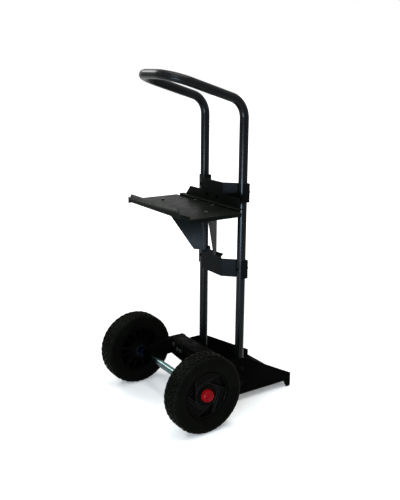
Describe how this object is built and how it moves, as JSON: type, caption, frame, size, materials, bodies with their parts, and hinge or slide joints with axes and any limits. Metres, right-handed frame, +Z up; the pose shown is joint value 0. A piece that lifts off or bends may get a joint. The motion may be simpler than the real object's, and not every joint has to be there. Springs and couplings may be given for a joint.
{
  "type": "oxy acetylene torch cart",
  "caption": "Two-wheeled tubular cart for small gas bottles, with a handle loop, folded bottle cradles, a shelf on gussets and a toe plate.",
  "frame": {"origin": "on the floor, at the centre of the cart's footprint box", "axes": "+Z up, +Y towards the toe plate and the bottles, -Y towards the handle and the wheels, +X to the right of the bottles' side as drawn, along the axle"},
  "size_m": [0.4986, 0.5528, 1.0753],
  "materials": {
    "black_frame": "black satin powder coat on steel tube",
    "black_sheet": "black satin powder coat on folded sheet",
    "black_fastener": "black-finished steel bolts and nuts",
    "zinc_fastener": "bright zinc-plated bolts, nuts and washers",
    "zinc_axle": "bright zinc-plated bar",
    "tyre_rubber": "black rubber with a block tread",
    "rim_plastic": "black moulded plastic",
    "bush_plastic": "grey nylon bush",
    "red_cap": "glossy red moulded plastic"
  },
  "bodies": {
    "frame": {"frame_tube": "black_frame", "toe_plate": "black_sheet", "side_plate_left": "black_sheet", "side_plate_right": "black_sheet", "foot_bolts": "black_fastener", "foot_nuts": "black_fastener", "cross_beam": "black_sheet", "beam_bolts": "zinc_fastener", "beam_nuts": "zinc_fastener", "axle_bracket_left": "black_sheet", "axle_bracket_right": "black_sheet", "bracket_bolts": "zinc_fastener", "bracket_nuts": "zinc_fastener", "axle": "zinc_axle", "axle_spacers": "zinc_axle", "axle_washers": "zinc_fastener", "split_pins": "zinc_fastener", "upper_cradle": "black_sheet", "lower_cradle": "black_sheet", "cradle_bolts": "black_fastener", "cradle_nuts": "black_fastener", "shelf_tray": "black_sheet", "shelf_bolts": "zinc_fastener", "shelf_nuts": "zinc_fastener", "gusset_left": "black_sheet", "gusset_right": "black_sheet", "back_bolts": "black_fastener", "back_nuts": "black_fastener"},
    "wheel_left": {"tyre_left": "tyre_rubber", "rim_left": "rim_plastic", "bushes_left": "bush_plastic", "hub_cap_left": "red_cap"},
    "wheel_right": {"tyre_right": "tyre_rubber", "rim_right": "rim_plastic", "bushes_right": "bush_plastic", "hub_cap_right": "red_cap"}
  },
  "joints": [
    {"name": "wheel_left_spin", "type": "hinge", "parent": "frame", "child": "wheel_left", "pos_m": [-0.213, -0.1519, 0.1245], "axis": [1, 0, 0], "continuous": true},
    {"name": "wheel_right_spin", "type": "hinge", "parent": "frame", "child": "wheel_right", "pos_m": [0.213, -0.1519, 0.1245], "axis": [1, 0, 0], "continuous": true}
  ]
}
